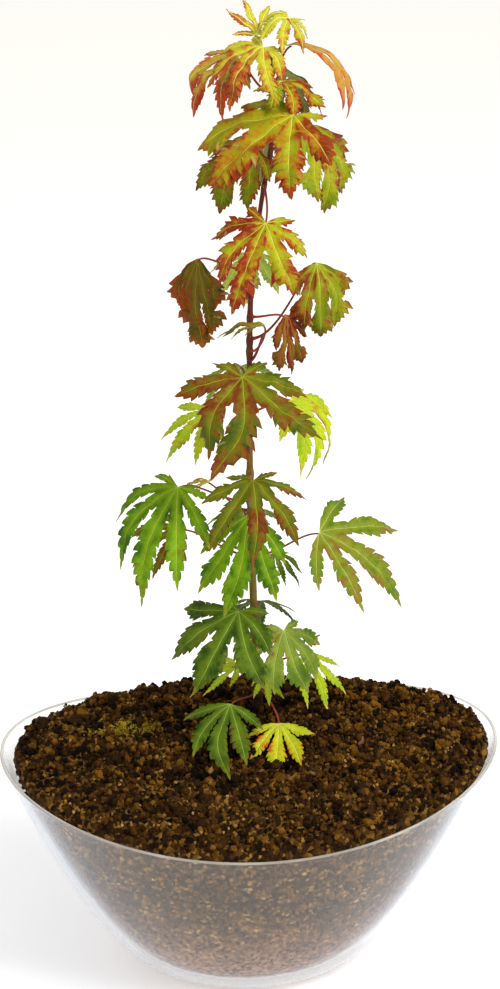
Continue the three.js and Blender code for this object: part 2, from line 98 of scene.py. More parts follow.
# The source's leaves, in its order. Only here do some have a look of their own, and lobes that have grown
# broader and stay joined further out, by the two shares given.
LEAVES = [
    grow("tip_left", 499, 178, 7, 511, "gold", 120, 22, -65, droop=0.3, broad=0.95, lobes=5, look="light"),
    grow("tip_right", 502, 345, 9, 520, "gold", 250, 25, 15, roll=-20, broad=1.2, look="light"),
    grow("crown_front", 492, 250, 16, 509, "gold", 228, 38, 14, roll=-12, droop=0.6, broad=1.5,
         parted=0.42, look="light", grown=(1.1, 1.2)),
    grow("crown_right", 496, 345, 7, 506, "red", 350, 52, -8, droop=0.95, spread=0.4, lobes=3, look="pink"),
    grow("crown_left", 484, 190, 18, 502, "red", 200, 38, 22, roll=-18, droop=0.5, broad=1.2, parted=0.36,
         lobes=5, look="salmon"),
    grow("crown_under", 479, 290, 8, 491, "gold", 290, 28, 12, droop=0.35, broad=1.5, parted=0.45, lobes=5,
         look="rosy", grown=(1.15, 1.3)),
    grow("crown_back", 488, 60, 12, 492, "bronze", 45, 36, 35, droop=0.7, lobes=5, grown=(1.2, 1.3)),
    grow("upper_front", 466, 283, 29, 479, "gold", 208, 55, 20, roll=-18, droop=0.4, spread=1.15,
         broad=1.7, parted=0.48, grown=(1.15, 1.25)),
    grow("upper_right", 460, 0, 19, 467, "lime", 305, 43, 50, spread=0.75, broad=1.9, parted=0.5, lobes=5,
         look="margined", grown=(1.35, 1.5)),
    grow("upper_left", 450, 170, 8, 457, "bronze", 215, 38, 32, roll=-20, broad=1.6, parted=0.45, lobes=5,
         look="turning", grown=(1.15, 1.3)),
    grow("upper_back", 455, 90, 20, 460, "bronze", 90, 42, 45, droop=0.6, broad=1.5, parted=0.4, lobes=5,
         grown=(1.15, 1.3)),
    grow("mid_star", 438, 266, 28, 427, "gold", 240, 47, 38, roll=-14, droop=0.38, broad=1.7, parted=0.42,
         look="rosy", grown=(1.15, 1.25)),
    grow("mid_left", 394, 190, 28, 403, "bronze", 248, 42, 72, droop=0.3, spread=0.5, broad=1.8,
         parted=0.5, lobes=5, look="brown", grown=(1.35, 1.5)),
    grow("mid_right", 358, 2, 34, 397, "lime", 282, 36, 60, spread=0.8, broad=1.9, parted=0.48, lobes=5,
         look="turning", grown=(1.35, 1.5)),
    grow("mid_back", 385, 85, 22, 396, "lime", 85, 38, 55, droop=0.6, broad=1.3, parted=0.4, lobes=5),
    grow("mid_small", 352, 290, 18, 372, "red", 196, 26, -8, droop=0.3, spread=0.4, lobes=5, look="bronze"),
    grow("mid_hang", 370, 330, 19, 374, "red", 310, 32, 72, droop=0.3, spread=0.55, broad=1.5, parted=0.4,
         lobes=5, grown=(1.35, 1.5)),
    grow("centre_star", 338, 258, 28, 348, "bronze", 270, 56, 36, droop=0.3, spread=1.15, broad=1.45,
         parted=0.34, grown=(1.2, 1.3)),
    grow("centre_right", 318, 15, 23, 322, "lime", 328, 46, 32, roll=15, droop=0.75, spread=0.85,
         broad=1.15, grown=(1.1, 1.2)),
    grow("centre_left", 324, 165, 20, 318, "lime", 212, 36, 22, roll=-18, spread=0.85, lobes=5),
    grow("centre_back", 332, 95, 24, 334, "green", 95, 42, 45, droop=0.6),
    grow("left_green", 268, 195, 40, 282, "green", 226, 63, 32, roll=-12, droop=0.62, spread=0.88,
         broad=0.9, grown=(1.1, 1.2)),
    grow("left_small", 262, 170, 22, 278, "gold", 150, 18, 0, lobes=5, look="salmon"),
    grow("left_back", 235, 165, 40, 248, "bronze", 190, 36, 15, roll=-35, lobes=5),
    grow("front_bronze", 284, 268, 28, 292, "bronze", 272, 48, 30, droop=0.5, grown=(1.15, 1.25)),
    grow("front_green", 258, 262, 14, 266, "green", 252, 54, 55, spread=0.75, lobes=5, grown=(1.35, 1.35)),
    grow("right_green", 236, 345, 36, 252, "green", 344, 59, 17, roll=30, droop=0.4, spread=1.12,
         broad=0.95, lobes=5, look="olive", grown=(1.15, 1.2)),
    grow("right_back", 228, 50, 20, 229, "dark", 330, 24, 30, lobes=5),
    grow("rear_green", 245, 95, 22, 252, "green", 95, 44, 40, droop=0.6),
    grow("low_left", 203, 245, 24, 214, "dark", 232, 55, 25, roll=-5, broad=1.15, grown=(1.35, 1.6)),
    grow("low_right", 190, 312, 21, 198, "dark", 288, 38, 48, broad=1.35, look="pale", grown=(1.35, 1.6)),
    grow("low_back", 188, 80, 24, 196, "dark", 80, 40, 35, droop=0.6, lobes=5),
    grow("low_lime_left", 160, 130, 16, 162, "lime", 190, 32, 12, droop=0.2, lobes=5),
    grow("low_lime_right", 168, 5, 29, 172, "lime", 290, 34, 38, droop=0.2, spread=0.85, broad=0.8,
         lobes=5),
    grow("low_bud", 163, 285, 14, 170, "lime", 270, 18, 40, lobes=5),
    grow("soil_left", 152, 233, 28, 158, "dark", 248, 45, 20, droop=0.1, spread=0.85, broad=0.95,
         parted=0.26, lobes=5, grown=(1.15, 1.2)),
    grow("soil_front", 157, 285, 34, 151, "lime", 262, 32, 18, droop=0.1, spread=0.9, broad=1.2,
         parted=0.26, lobes=5, look="yellowing", grown=(1.15, 1.15)),
]


# ---- Small helpers ----
def seeded(seed):
    """The source's own run of draws from 0 to 1."""
    state = seed * 7919 + 13

    def draw():
        nonlocal state
        state = state * 48271 % 2147483647
        return state / 2147483647

    return draw


def unit(vectors):
    return vectors / np.maximum(np.linalg.norm(vectors, axis=-1, keepdims=True), 1e-9)


def smooth(low, high, values):
    """Runs smoothly from 0 to 1 as the values go from low to high."""
    share = np.clip((values - low) / (high - low), 0, 1)
    return share * share * (3 - 2 * share)


def round_ways(angles):
    """The way that each angle points, right and back."""
    return np.stack([np.cos(angles), np.sin(angles)], -1)


def level_way(degrees):
    """The way that many degrees round from the right."""
    turn = math.radians(degrees)
    return np.array([math.cos(turn), math.sin(turn), 0])


def turns(count):
    return np.arange(count) * 2 * math.pi / count


def ripples(seed, spacing, waves=9):
    """A smooth random field over places, about -1 to 1, whose bumps are `spacing` apart."""
    rng = np.random.default_rng(seed)
    ways = unit(rng.normal(size=(waves, 3))) * rng.uniform(0.6, 1.5, (waves, 1)) * 2 * math.pi / spacing
    starts = rng.uniform(0, 2 * math.pi, waves)
    return lambda places: np.sin(places @ ways.T + starts).sum(axis=-1) / math.sqrt(waves * 2) * 1.2


def piece(name, points, faces, finishes, smooth_faces=True):
    """A mesh from points in millimetres, riding on the part's one body."""
    mesh = bpy.data.meshes.new(name)
    mesh.from_pydata((np.asarray(points) * MM).tolist(), [], faces)
    mesh.update()
    mesh.polygons.foreach_set("use_smooth", [smooth_faces] * len(mesh.polygons))
    made = bpy.data.objects.new(name, mesh)
    bpy.context.collection.objects.link(made)
    for finish in finishes:
        mesh.materials.append(finish.material)
    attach(made, "root")
    return made


def select_only(made):
    bpy.ops.object.select_all(action="DESELECT")
    made.select_set(True)
    bpy.context.view_layer.objects.active = made


def grid_faces(rows, columns, closed=False):
    """Quads between rows of points. In a closed grid each row is one turn round."""
    faces = []
    for row in range(rows - 1):
        for i in range(columns if closed else columns - 1):
            a, b = row * columns + i, row * columns + (i + 1) % columns
            faces.append((a, b, b + columns, a + columns))
    return faces


def closed_stack(rings, start, end):
    """Points and faces of rings of points, one after another, closed by a point at each end."""
    sides = len(rings[0])
    count = len(rings) * sides
    faces = grid_faces(len(rings), sides, True)
    for i in range(sides):
        j = (i + 1) % sides
        faces.append((count, j, i))
        faces.append((count + 1, count - sides + i, count - sides + j))
    return np.vstack([*rings, start, end]), faces


ASKEW = (0.31, 0.9, 0.13)  # a way that no limb takes


def tube(way, radii, sides):
    """Points and faces of a round limb along a way."""
    way = np.asarray(way, float)
    along = unit(np.gradient(way, axis=0))
    across = unit(np.cross(along, ASKEW))
    other = np.cross(along, across)
    angles = turns(sides)[:, None]
    radii = np.broadcast_to(np.asarray(radii, float).reshape(len(way), -1), (len(way), sides))
    rings = way[:, None] + radii[..., None] * (
        across[:, None] * np.cos(angles) + other[:, None] * np.sin(angles)
    )
    return closed_stack(rings, way[0], way[-1])


def joined(parts):
    """Several (points, faces) as one."""
    points, faces, count = [], [], 0
    for some, theirs in parts:
        points.append(some)
        faces += [tuple(v + count for v in face) for face in theirs]
        count += len(some)
    return np.vstack(points), faces


def bezier(a, b, c, d, steps):
    t = np.linspace(0, 1, steps)[:, None]
    return a * (1 - t) ** 3 + 3 * b * t * (1 - t) ** 2 + 3 * c * t**2 * (1 - t) + d * t**3


# ---- Finishes ----
def shade(code, share=1):
    """A screen colour code as the linear colour that nodes take, or a share of it."""
    parts = [int(code[i : i + 2], 16) / 255 for i in (0, 2, 4)]
    linear = [p / 12.92 if p <= 0.04045 else ((p + 0.055) / 1.055) ** 2.4 for p in parts]
    return (*(part * share for part in linear), 1)


def operator(operation, reflected=False):
    """A method of Value that adds a Math node. Reflected, the other number comes first."""

    def method(self, other):
        return self.maths(operation, *((other, self) if reflected else (self, other)))

    return method


class Value:
    """A number or a colour in a material. Python's operators on it add Math nodes."""

    def __init__(self, finish, socket):
        self.finish = finish
        self.socket = socket

    def maths(self, operation, *values):
        return self.finish.node("Math", dict(enumerate(values)), operation=operation)

    __add__, __radd__ = operator("ADD"), operator("ADD", True)
    __sub__, __rsub__ = operator("SUBTRACT"), operator("SUBTRACT", True)
    __mul__, __rmul__ = operator("MULTIPLY"), operator("MULTIPLY", True)
    __truediv__, __rtruediv__ = operator("DIVIDE"), operator("DIVIDE", True)
    __pow__ = operator("POWER")
    at_least = operator("MAXIMUM")

    def __abs__(self):
        return self.maths("ABSOLUTE", self)

    def fraction(self):
        return self.maths("FRACT", self)

    def between(self, low, high, start=0, end=1):
        """Runs smoothly from start to end as the number goes from low to high."""
        ends = {0: self, 1: low, 2: high, 3: start, 4: end}
        return self.finish.node("MapRange", ends, interpolation_type="SMOOTHSTEP")


class Finish:
    """One material and its nodes. A colour is a Value or a screen colour code."""

    def __init__(self, name):
        self.material = bpy.data.materials.new(name)
        self.material.use_nodes = True
        self.tree = self.material.node_tree
        self.shader = self.tree.nodes["Principled BSDF"]

    def node(self, kind, inputs=None, output=0, **settings):
        made = self.tree.nodes.new("ShaderNode" + kind)
        for name, setting in settings.items():
            if name == "stops":
                stops = made.color_ramp.elements
                for i, (place, code) in enumerate(setting.items()):
                    stop = stops[i] if i < 2 else stops.new(place)
                    stop.position = place
                    stop.color = shade(code)
            else:
                setattr(made, name, setting)
        for socket, value in (inputs or {}).items():
            self.put(made.inputs[socket], value)
        return Value(self, made.outputs[output])

    def put(self, socket, value):
        if isinstance(value, Value):
            self.tree.links.new(value.socket, socket)
        else:
            socket.default_value = shade(value) if isinstance(value, str) else value

    def set(self, **sockets):
        for name, value in sockets.items():
            self.put(self.shader.inputs[name.replace("_", " ")], value)

    def place(self):
        return self.node("TexCoord", output="Object")

    def axis(self, letter, place=None):
        """One coordinate of a place or of a map, in metres."""
        return self.node("SeparateXYZ", {0: place or self.place()}, letter)

    def squeezed(self, upwards):
        """The place, with its height shrunk, for patterns that run up the stem."""
        return self.node("Mapping", {"Vector": self.place(), "Scale": (1, 1, upwards)})

    def noise(self, scale, detail=3, place=None, output="Fac"):
        inputs = {"Vector": place or self.place(), "Scale": scale, "Detail": detail}
        return self.node("TexNoise", inputs, output)

    def pushed(self, scale, far):
        """The place with a small random push, to break up straight edges; far in metres."""
        centred = {0: self.noise(scale, 2, output="Color"), 1: (0.5, 0.5, 0.5)}
        push = {0: self.node("VectorMath", centred, operation="SUBTRACT"), "Scale": far}
        push = self.node("VectorMath", push, operation="SCALE")
        return self.node("VectorMath", {0: self.place(), 1: push}, operation="ADD")

    def cells(self, scale, output, place=None):
        """A pattern of cells: the Distance from the middle of each, or its Color."""
        return self.node("TexVoronoi", {"Vector": place or self.place(), "Scale": scale}, output)

    def cell_tones(self, scale, place=None):
        """A random number for each cell."""
        return self.node("SeparateColor", {0: self.cells(scale, "Color", place)})

    def mix(self, share, first, second):
        return self.node("Mix", {0: share, 6: first, 7: second}, 2, data_type="RGBA")

    def ramp(self, share, stops):
        return self.node("ValToRGB", {0: share}, stops=stops)

    def bump(self, height, distance, strength=1.0):
        """Relief of a height of 0 to 1; distance in millimetres."""
        inputs = {"Height": height, "Distance": distance * MM, "Strength": strength}
        self.set(Normal=self.node("Bump", inputs))


# The colours of each tint of leaf: two of the blade, then beside the ribs, in patches, along the edge, at the
# tips, and the ribs. Then how old a place is when it turns to the patches' colour, and to the edge's.
TINTS = {
    "green": ("2c5602 6e9808 8cac16 747410 52520c 9aa020 aac440", 0.72, 1.02),
    "dark": ("203a04 566f0c 6e8a1a 5e5a12 42380e 74701c 92ac46", 0.7, 1.02),
    "olive": ("4a6c0a 7c8a16 929c2c 7e6a20 7c5a20 968440 b8c066", 0.54, 0.86),
    # The pale look, on a dark green leaf, is lighter and greyer all over: a painted sheen.
    "pale": ("46660e 7e922c 92a640 807828 60541a 8e8a34 b0be64", 0.68, 1.0),
    "lime": ("80a006 b0c010 bccc24 b09814 986012 c2b43c d0dc54", 0.7, 0.98),
    "yellowing": ("8a9c06 bebc12 c8c826 b4801a a0441a a8441c dad862", 0.56, 0.84),
    "margined": ("6a8004 9c9a0e aaae20 8a600e 6e2010 5e1812 c2be46", 0.44, 0.7),
    "turning": ("5c6e04 92900c 9ea81c 86560c 6a280a 60200e b8ba42", 0.32, 0.64),
    "bronze": ("404e04 70700a 7e8614 72480a 6a2e0a 7c3a0c a69e2a", 0.36, 0.66),
    "brown": ("403a04 6e5c0c 7c6a12 6a380a 8a3c10 984812 96842a", 0.34, 0.6),
    "red": ("62400a 80480c 866c16 7a260c 5c120a 50100c a86c2c", 0.28, 0.48),
    "pink": ("ac7830 bc9040 b4a03a b45832 a42a20 902820 d4b468", 0.35, 0.6),
    "salmon": ("a28a18 be9e30 c6b640 b4622a a4301e a02c22 dcd070", 0.32, 0.52),
    "rosy": ("8a8c0c ae9812 b2ba1e a45410 86220e 821c16 d4d452", 0.32, 0.56),
    "gold": ("80880a aa940c acb01a a05e0c 862c0c 963a12 cecc4c", 0.32, 0.62),
    "light": ("989c14 c0b220 c6c634 b0781c 983c16 a64c20 e0dc6c", 0.38, 0.64),
}
RIB_SPACING = 3.6  # between side ribs, in millimetres
RIB_SLANT = 1.1
GREY_UNDERSIDE = 0.3


def leaf_finish(tint, under):
    """A maple blade: mottled, ribbed, and turning from its edges and tips inwards."""
    codes, patch_from, edge_from = TINTS[tint]
    first, second, near, patch, margin, tip, pale = codes.split()
    made = Finish("leaf_%s_%s" % (tint, "under" if under else "upper"))
    rib_map, edge_map, age_map = (made.node("UVMap", uv_map=name) for name in ("ribs", "edges", "ages"))
    middle = abs(made.axis("X", rib_map)) * 1000
    along = made.axis("Y", rib_map) * 1000
    edge = made.axis("X", edge_map)
    share = made.axis("Y", edge_map)
    wide = made.noise(45, 2)
    patches = made.noise(170, 3)
    fine = made.noise(420, 4)
    speckle = made.noise(1500, 2)

    body = made.mix(((wide - 0.5) * 2.2 + (patches - 0.5) * 2.0 + 0.5).between(0, 1), first, second)
    beside = (middle + (patches - 0.5) * 5).between(0.0, 3.4, 0.6, 0) * share.between(0.4, 0.95, 1, 0.1)
    body = made.mix(beside, body, near)
    age = edge * 0.34 + share * 0.36 + (wide - 0.5) * 2.0 + (patches - 0.5) * 1.7 + (fine - 0.5) * 0.7
    age = age + 0.04 + made.axis("X", age_map)
    body = made.mix(age.between(patch_from - 0.09, patch_from + 0.31) * 0.85, body, patch)
    at_edge = age + edge.between(0.6, 1, 0, 0.22)
    body = made.mix(at_edge.between(edge_from - 0.08, edge_from + 0.32) * 0.95, body, margin)
    body = made.mix((share + (fine - 0.5) * 0.2).between(0.82, 1.0) * 0.8, body, tip)

    main_rib = (middle - share.between(0, 1, 0.12, 0)).between(0.16, 0.42, 1, 0) * share.between(0.8, 1, 1, 0)
    slanted = ((along - middle * RIB_SLANT) / RIB_SPACING).fraction()
    side_rib = abs(slanted - 0.5).between(0.0, 0.1, 1, 0) * edge.between(0.7, 0.95, 1, 0)
    side_rib = side_rib * middle.between(0.2, 1.0)
    # Underneath, the ribs are paler and stand out, where above they are sunk.
    rib_share, rough, sunk, side_sunk = (0.85, 0.5, -1.2, -0.5) if under else (0.7, 0.38, 0.9, 0.6)
    colour = made.mix(main_rib.at_least(side_rib * 0.3) * rib_share, body, pale)
    colour = made.mix((speckle - 0.5).between(0.02, 0.2) * 0.2, colour, "2b2a10")
    if under:
        colour = made.mix(GREY_UNDERSIDE, colour, "a5b07a")
    made.set(Base_Color=colour, Roughness=fine * 0.25 + rough, Specular_IOR_Level=0.1)
    made.bump(fine * 0.5 + speckle * 0.1 - main_rib * sunk - side_rib * side_sunk, 0.35, 0.9)
    return made


# ---- The stem ----
WAY_STEPS = 80  # points in each stretch of the stem's way


def stem_centres():
    """Points close together along the stem's middle, from the foot up, by the source's own curve."""
    ways = np.array([(right, back, up) for up, right, back in STEM_WAY]) + (*FOOT, FOOT_HEIGHT)
    ways = np.vstack([2 * ways[0] - ways[1], ways, 2 * ways[-1] - ways[-2]])
    t = np.linspace(0, 1, WAY_STEPS, endpoint=False)[:, None]
    found = []
    for before, a, b, after in zip(ways, ways[1:], ways[2:], ways[3:]):
        first, middle, last = (math.sqrt(np.linalg.norm(q - p)) for p, q in ((before, a), (a, b), (b, after)))
        leaving = ((a - before) / first - (b - before) / (first + middle) + (b - a) / middle) * middle
        arriving = ((b - a) / middle - (after - a) / (middle + last) + (after - b) / last) * middle
        turn = 2 * a - 2 * b + leaving + arriving
        ease = 3 * b - 3 * a - 2 * leaving - arriving
        found.append(a + leaving * t + ease * t**2 + turn * t**3)
    return np.vstack(found + [ways[-2:-1]])


STEM = stem_centres()


def stem_at(height):
    return np.array([np.interp(height, STEM[:, 2], STEM[:, axis]) for axis in (0, 1)] + [height])


def stem_radius(height):
    up = np.clip((height - FOOT_HEIGHT) / (STEM_TOP - FOOT_HEIGHT), 0, 1)
    flare = FLARE * np.exp(-(height - FOOT_HEIGHT) / FLARE_HEIGHT)
    return STEM_RADIUS + (STEM_TIP_RADIUS - STEM_RADIUS) * up**1.2 + flare


STEM_ROWS = 620
STEM_SIDES = 20
# How much thicker the stem is where a stalk leaves it, and how far that reaches. A scar runs round above it.
NODE_SWELL, NODE_REACH = 0.32, 2.6
SCAR_UP, SCAR_DEPTH, SCAR_REACH = 1.6, 0.05, 0.35
FLUTES, FLUTE_DEPTH = 5, 0.07  # round the flare
BUMPS_DRAWN_OUT = 0.16  # the height counts this little in the bark's bumps, so that they are long
BUMP_DEPTH, FINE_BUMP_DEPTH = 0.035, 0.02


def stem():
    heights = np.linspace(FOOT_HEIGHT, STEM_TOP, STEM_ROWS)
    swell = np.zeros_like(heights)
    for leaf in LEAVES:
        off = (heights - leaf.foot + 1) / NODE_REACH
        swell = np.maximum(swell, NODE_SWELL * np.exp(-off * off))
        scar = (heights - leaf.foot - SCAR_UP) / SCAR_REACH
        swell = swell - SCAR_DEPTH * np.exp(-scar * scar)
    angles = turns(STEM_SIDES)
    around = np.repeat(round_ways(angles)[None] * STEM_RADIUS, STEM_ROWS, 0)
    upwards = np.repeat(heights[:, None, None] * BUMPS_DRAWN_OUT, STEM_SIDES, 1)
    places = np.concatenate([around, upwards], -1)
    relief = ripples(5, 2.4)(places) * BUMP_DEPTH
    relief = relief + ripples(6, 0.9)(places * (1, 1, 0.4)) * FINE_BUMP_DEPTH
    fading = np.exp(-(heights[:, None] - FOOT_HEIGHT) / (2 * FLARE_HEIGHT))
    flutes = FLUTE_DEPTH * np.sin(angles * FLUTES + 0.4) * fading
    radii = stem_radius(heights)[:, None] * (1 + swell[:, None] + relief + flutes)
    points, faces = tube([stem_at(height) for height in heights], radii, STEM_SIDES)
    made = piece("stem", points, faces, [bark_finish()])
    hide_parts("trunk")


# Bare twigs and stubs: the height they leave the stem at, the way they turn, how far out, how far up, radius.
TWIGS = [
    (238, 172, 24, 13, 0.75), (237, 350, 6, 5, 0.9), (240, 188, 5, 4, 0.9), (346, 340, 7, 15, 0.7),
    (180, 338, 36, 13, 0.65), (300, 200, 15, -9, 0.6), (455, 15, 7, 10, 0.6),
]
TWIG_ROWS = 14
TWIG_SIDES = 10


def twigs():
    parts = []
    for foot, turn, out, up, radius in TWIGS:
        start = stem_at(foot)
        away = level_way(turn)
        end = start + away * out + (0, 0, up)
        arriving = end - (0, 0, up * 0.35) - away * out * 0.2
        way = bezier(start, start + away * out * 0.4, arriving, end, TWIG_ROWS)
        parts.append(tube(way, np.linspace(1.25, 0.7, TWIG_ROWS) * radius, TWIG_SIDES))
    points, faces = joined(parts)
    piece("twigs", points, faces, [stalk_finish("twig", "8a4a38", "7a3328")])


# The bark's colours from the foot, 0, to the tip, 1.
BARK = {
    0.0: "2c1c0c", 0.08: "54401a", 0.18: "6e5e22", 0.34: "766824", 0.48: "6a4420", 0.62: "562818",
    1.0: "602c18",
}


def bark_finish():
    """Young bark: olive brown low down, redder further up, with fine lengthwise lines and pale pores."""
    made = Finish("young_bark")
    share = (made.axis("Z") * 1000 - FOOT_HEIGHT) / (STEM_TOP - FOOT_HEIGHT)
    lines = made.noise(900, 3, made.squeezed(0.12))
    patches = made.noise(120, 3)
    pores = made.cells(900, "Distance", made.squeezed(0.6))
    tone = made.ramp(share + (patches - 0.5) * 0.3, BARK)
    tone = made.mix((lines - 0.45).between(0, 0.35) * 0.55, tone, "33201a")
    tone = made.mix(pores.between(0.1, 0.22, 1, 0) * 0.5, tone, "a58a63")
    made.set(Base_Color=tone, Roughness=0.55 + patches * 0.2, Specular_IOR_Level=0.15)
    made.bump(lines * 0.6 + patches * 0.3, 0.3, 0.7)
    return made


def stalk_finish(name, low, high):
    """Stalks: one colour low on the plant and another high up, a little mottled."""
    made = Finish(name)
    patches = made.noise(200, 2)
    share = (made.axis("Z") * 1000 + (patches - 0.5) * 60).between(180, 330)
    colour = made.mix((patches - 0.4).between(0, 0.4) * 0.4, made.mix(share, low, high), "4a2418")
    made.set(Base_Color=colour, Roughness=0.4 + patches * 0.2, Specular_IOR_Level=0.2)
    made.bump(made.noise(1200, 2), 0.1, 0.4)
    return made


# ---- Leaves ----
SHEET = 0.34  # thickness of a blade
STALK_RADIUS = 0.62
STALK_TIP_RADIUS = 0.46
STALK_SWELL, STALK_SWELL_FADES = 0.5, 14  # at the stem
STALK_ROWS = 30
STALK_SIDES = 9
JOINED_ROWS = 9
# The blades here are cut deeper between their lobes than the solids, and their lobes are slimmer.
CUT = 0.7
SLIM = 0.9
LOBE_OUTLINE = [  # how far out along a lobe's free part, and its half width there
    (0, 0.5), (0.1, 0.68), (0.25, 0.92), (0.42, 1.05), (0.55, 0.98),
    (0.7, 0.7), (0.82, 0.4), (0.9, 0.2), (0.96, 0.09), (1, 0),
]
# Rows of one tooth, as shares of it, and how far out the edge is at each.
ROUND = [(0, -1.3), (0.18, -0.1), (0.46, 0.8), (0.76, 1.0), (0.94, 0.1)]
SHARP = [(0, -0.9), (0.35, 0.1), (0.68, 1.1), (0.82, 0.5), (0.93, -0.5)]
TEETH = 8.5  # in a leaf's longest lobe
TOOTH_DEPTH = 0.2
TOOTH_LEAN = 0.3
ACROSS = np.array([-1, -0.8, -0.55, -0.3, -0.1, 0, 0.1, 0.3, 0.55, 0.8, 1])
COLUMNS = len(ACROSS)
FOLD = 0.34  # rise of a lobe's sides from its rib
MERGED = 0.004  # points closer than this are one
BLADE_EDGE_ANGLE = 50
# How the leaves of each look have aged: edges rolled under, tips hooked, crinkles in millimetres, lobes
# twisted, edges nibbled and shrunk, and the shape of their teeth.
AGED = ("curl", "hook", "crinkle", "twist", "ragged", "teeth")
AGEING = {
    "green": (0.15, 0.3, 0.5, 0.35, 0.1, ROUND),
    "dark": (0.15, 0.25, 0.5, 0.3, 0.1, ROUND),
    "lime": (0.2, 0.4, 0.5, 0.45, 0.15, ROUND),
    "turning": (0.3, 0.6, 0.8, 0.6, 0.3, SHARP),
    "bronze": (0.4, 0.7, 0.9, 0.7, 0.3, SHARP),
    "brown": (0.5, 0.7, 1.1, 0.9, 0.35, SHARP),
    "red": (0.55, 0.9, 0.9, 0.9, 0.35, SHARP),
    "gold": (0.35, 0.7, 0.9, 0.7, 0.35, SHARP),
    "pink": (0.3, 0.3, 0.7, 0.5, 0.3, SHARP),
    "rosy": (0.45, 0.8, 1.0, 0.8, 0.4, SHARP),
    "light": (0.35, 0.6, 0.9, 0.7, 0.35, SHARP),
    "salmon": (0.45, 0.8, 0.9, 0.8, 0.35, SHARP),
    "margined": (0.35, 0.6, 0.9, 0.6, 0.3, SHARP),
    "olive": (0.15, 0.3, 0.6, 0.35, 0.12, ROUND),
    "yellowing": (0.2, 0.3, 0.6, 0.4, 0.2, ROUND),
    "pale": (0.1, 0.2, 0.5, 0.25, 0.1, ROUND),
}
# How much further than its leaf each lobe hangs at its tip, and how far the tip has swept round, in radians
# towards the leaf's left.
LOBE_BENDS = {
    "crown_left": ((0, -0.1), (0.8, -0.1), (0.4, 0), (0.2, 0), (0, 0)),
    "upper_right": ((0, 0), (0, 0), (0.3, -0.1), (0.3, -0.25), (0.5, -0.4)),
    "mid_star": ((0, 0), (0, 0.1), (0, 0), (0.2, 0), (0.9, 0.2), (1.2, 0.1), (0, 0)),
    "mid_left": ((0.5, 0.4), (0.4, 0.5), (0, 0.1), (0, 0), (0.4, -0.2)),
    "mid_right": ((0, 0.1), (0.3, 0), (0.2, -0.1), (0.2, -0.25), (0.4, -0.4)),
    "centre_star": ((0, 0), (0, 0), (0.6, 0.15), (0.8, -0.4), (0, 0.1), (0, 0), (0, 0)),
    "centre_right": ((0, 0), (0, -0.1), (0.2, -0.2), (0.3, -0.3), (0.3, -0.35), (0, -0.2), (0, 0)),
    "left_green": ((0.2, 0), (0.3, 0.1), (0.3, 0.15), (0.2, 0.1), (0, 0), (0, 0), (0, 0)),
    "low_left": ((0, -0.1), (0, -0.12), (0.4, 0), (0, 0), (0, 0.1), (0, 0), (0, 0)),
    "soil_left": ((0, 0), (0.2, 0.1), (0.3, 0.25), (0, 0), (0, 0)),
}
OWN_SWEEP = 0.14  # of the lobes of other leaves, at most
# How much further each lobe has turned than its leaf, from the leaf's right to its left; below 0 is greener.
LOBE_AGES = {
    "crown_front": (-0.1, -0.1, 0.0, 0.3, 0.0, -0.1, 0.0),
    "upper_front": (-0.05, 0.0, -0.1, 0.05, 0.12, 0.12, -0.1),
    "upper_right": (-0.15, -0.2, -0.1, 0.15, 0.4),
    "mid_star": (0.33, 0.36, 0.24, 0.1, -0.1, -0.15, 0.0),
    "mid_left": (0.35, 0.4, 0.0, -0.1, 0.0),
    "mid_right": (0.35, 0.3, 0.05, -0.25, -0.1),
    "centre_star": (-0.08, 0.08, 0.05, 0.16, -0.1, -0.22, -0.25),
    "front_bronze": (-0.35, -0.25, -0.15, 0.18, 0.05, 0.0, 0.28),
    "right_green": (0.1, 0.12, 0.06, -0.05, -0.1),
}
OWN_AGES = (-0.12, 0.16)  # of the lobes of other leaves


def lobes_of(leaf):
    draw = seeded(leaf.seed)
    kept = LOBES[: (leaf.lobes + 1) // 2]
    found = []
    for angle, length in [(-a, share) for a, share in kept[:0:-1]] + kept:
        # The draws come in the source's order: angle, length, sway.
        turned = leaf.spread * (angle + ANGLE_RANGE * (draw() - 0.5))
        grown = leaf.size * length * (1 + LENGTH_RANGE * (draw() - 0.5))
        sway = leaf.spread * SWAY_RANGE * (draw() - 0.5)
        found.append(SimpleNamespace(angle=math.radians(turned), length=grown, sway=math.radians(sway)))
    return found


def rib_angle(lobe, r):
    return lobe.angle + lobe.sway * np.minimum(1, r / lobe.length) ** 2


def room_beside(lobe, neighbour, r):
    apart = np.abs(rib_angle(neighbour, r) - rib_angle(lobe, r)) / 2
    return np.where(r > neighbour.length, np.inf, LOBE_ROOM * r * np.sin(apart))


def bent(leaf, x, y, lift, hook=0.0):
    """Places flat points of a blade, forward and sideways from its hub, on the bent blade."""
    heading, slope, roll = map(math.radians, (leaf.heading, leaf.slope, leaf.roll))
    forward = np.array(
        [math.cos(heading) * math.cos(slope), math.sin(heading) * math.cos(slope), -math.sin(slope)]
    )
    level = np.array([-math.sin(heading), math.cos(heading), 0])
    side = level * math.cos(roll) + np.cross(forward, level) * math.sin(roll)
    facing = np.cross(forward, side)
    down = np.array([0, 0, -1.0])
    x, y, lift = np.broadcast_arrays(np.asarray(x, float), y, lift)
    r = np.hypot(x, y)
    away = np.where(r[..., None] > 1e-6, forward * x[..., None] + side * y[..., None], forward)
    rib = unit(away)
    across = unit(down - rib * (rib @ down)[..., None])
    axis = np.cross(rib, across)
    lean = np.arccos(np.clip(rib @ down, -1, 1))
    bend = (leaf.droop * np.minimum(lean, 2 * (math.pi - lean)) + 1e-6) / leaf.size * (1 + hook)
    turned = (bend * r)[..., None]
    bend = bend[..., None]
    place = leaf.hub_point + rib * np.sin(turned) / bend + across * (1 - np.cos(turned)) / bend
    over = (across @ facing)[..., None]
    normal = axis * (axis @ facing)[..., None] + across * over * np.cos(turned) - rib * over * np.sin(turned)
    return place + normal * lift[..., None]


